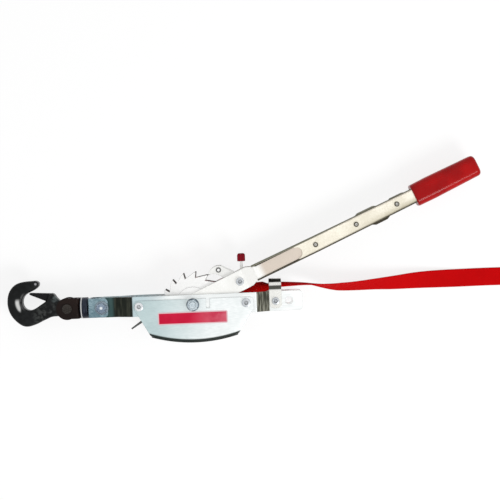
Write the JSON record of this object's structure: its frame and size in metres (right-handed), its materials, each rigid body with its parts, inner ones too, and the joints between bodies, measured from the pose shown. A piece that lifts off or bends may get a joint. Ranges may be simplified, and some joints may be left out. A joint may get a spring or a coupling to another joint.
{
  "type": "come along winch",
  "caption": "Hand strap winch: ratchet drum between two flat bars, long lever handle, belly guard, red webbing strap and latched hooks.",
  "frame": {"origin": "on the drum's axis, at the outer face of the axle bolt's head, which is the flat the winch lies on", "axes": "+X along the frame from the hook towards the strap's way out, +Y across it towards the ratchet handle, +Z along the drum's axle, away from the surface it lies on"},
  "size_m": [0.8576, 0.243, 0.0718],
  "materials": {
    "bar_zinc": "bright zinc plate with a pale blue-green cast",
    "guard_zinc": "bright zinc sheet with a pale blue-green cast",
    "label_red": "glossy red label, bare",
    "bolt_zinc": "zinc plate",
    "axle_zinc": "zinc plate, a little darker",
    "spacer_zinc": "zinc plate",
    "saddle_zinc": "bent bright zinc strip with olive and grey bands",
    "drum_steel": "zinc plate",
    "wheel_zinc": "stamped zinc-plated steel",
    "strap_red": "woven red polyester webbing",
    "plate_zinc": "zinc plate with a warm cast",
    "channel_zinc": "zinc plate",
    "cover_zinc": "pale zinc plate",
    "rivet_steel": "zinc plate",
    "grip_red": "dipped red vinyl, glossy",
    "pawl_zinc": "zinc-plated pressings",
    "spring_steel": "bare spring wire",
    "knob_red": "soft dark red cap",
    "eye_zinc": "zinc plate with a blue cast",
    "swivel_steel": "dark plated steel",
    "yoke_black": "brown-black coating",
    "hook_black": "glossy black forging",
    "latch_black": "black-painted pressing"
  },
  "bodies": {
    "frame": {"side_bar_near": "bar_zinc", "side_bar_far": "bar_zinc", "belly_guard": "guard_zinc", "guard_label": "label_red", "frame_bolts": "bolt_zinc", "frame_bolt_nuts": "bolt_zinc", "front_spacer": "spacer_zinc", "rear_spacer": "spacer_zinc", "axle_bolt": "axle_zinc", "axle_washer": "axle_zinc", "axle_nut": "axle_zinc", "thrust_washers": "spacer_zinc", "strap_saddle": "saddle_zinc", "saddle_bolt": "bolt_zinc", "saddle_nut": "bolt_zinc", "saddle_spacer": "spacer_zinc", "eye_bolt": "bolt_zinc", "eye_nut": "bolt_zinc", "eye_washers": "bolt_zinc", "eye_spacer": "spacer_zinc", "strap_run": "strap_red", "strap_free": "strap_red", "strap_end_loop": "strap_red", "end_hook": "hook_black"},
    "drum": {"drum_tube": "drum_steel", "ratchet_wheel_near": "wheel_zinc", "ratchet_wheel_far": "wheel_zinc", "hub_discs": "drum_steel", "strap_roll": "strap_red"},
    "handle": {"yoke_plate_near": "plate_zinc", "yoke_plate_far": "plate_zinc", "handle_channel": "channel_zinc", "handle_cover": "cover_zinc", "handle_rivets": "rivet_steel", "handle_grip": "grip_red", "drive_pawl_bolt": "rivet_steel"},
    "drive_pawl": {"drive_pawl": "pawl_zinc", "drive_pawl_pin": "pawl_zinc", "release_knob": "knob_red", "drive_pawl_spring": "spring_steel"},
    "holding_pawl": {"holding_pawl": "pawl_zinc", "holding_pawl_spring": "spring_steel"},
    "eye_yoke": {"eye_yoke": "eye_zinc"},
    "swivel": {"swivel_barrel": "swivel_steel", "swivel_stud": "swivel_steel", "hook_yoke": "yoke_black", "hook_pin": "yoke_black"},
    "hook": {"hook": "hook_black", "hook_latch_pin": "latch_black"},
    "hook_latch": {"hook_latch": "latch_black", "hook_latch_spring": "spring_steel"},
    "end_latch": {"end_hook_latch": "latch_black", "end_hook_latch_spring": "spring_steel", "end_hook_latch_pin": "latch_black"}
  },
  "joints": [
    {"name": "drum_spin", "type": "hinge", "parent": "frame", "child": "drum", "pos_m": [0, 0, 0.0337], "axis": [0, 0, 1], "continuous": true},
    {"name": "handle_swing", "type": "hinge", "parent": "frame", "child": "handle", "pos_m": [0, 0, 0.0337], "axis": [0, 0, 1], "range_deg": [0, 112.5]},
    {"name": "drive_pawl_rock", "type": "hinge", "parent": "handle", "child": "drive_pawl", "pos_m": [0.06625, 0.0292, 0.0337], "axis": [0, 0, 1], "range_deg": [-8, 7], "stiffness_Nm_per_rad": 0.2},
    {"name": "holding_pawl_rock", "type": "hinge", "parent": "frame", "child": "holding_pawl", "pos_m": [-0.0742, 0, 0.0337], "axis": [0, 0, 1], "range_deg": [-8, 7], "stiffness_Nm_per_rad": 0.2},
    {"name": "eye_swing", "type": "hinge", "parent": "frame", "child": "eye_yoke", "pos_m": [-0.1267, 0, 0.0337], "axis": [0, 0, 1], "range_deg": [-75, 75]},
    {"name": "swivel_spin", "type": "hinge", "parent": "eye_yoke", "child": "swivel", "pos_m": [-0.152, 0, 0.0337], "axis": [1, 0, 0], "continuous": true},
    {"name": "hook_swing", "type": "hinge", "parent": "swivel", "child": "hook", "pos_m": [-0.1757, 0, 0.0337], "axis": [0, 0, 1], "range_deg": [-50, 50]},
    {"name": "hook_latch_open", "type": "hinge", "parent": "hook", "child": "hook_latch", "pos_m": [-0.1979, 0.0168, 0.0337], "axis": [0, 0, 1], "range_deg": [0, 24], "stiffness_Nm_per_rad": 0.05, "springref_deg": -17.19},
    {"name": "end_latch_open", "type": "hinge", "parent": "frame", "child": "end_latch", "pos_m": [0.55976, 0.00878, 0.0061], "axis": [0, 0, 1], "range_deg": [0, 24], "stiffness_Nm_per_rad": 0.02, "springref_deg": -17.19}
  ]
}
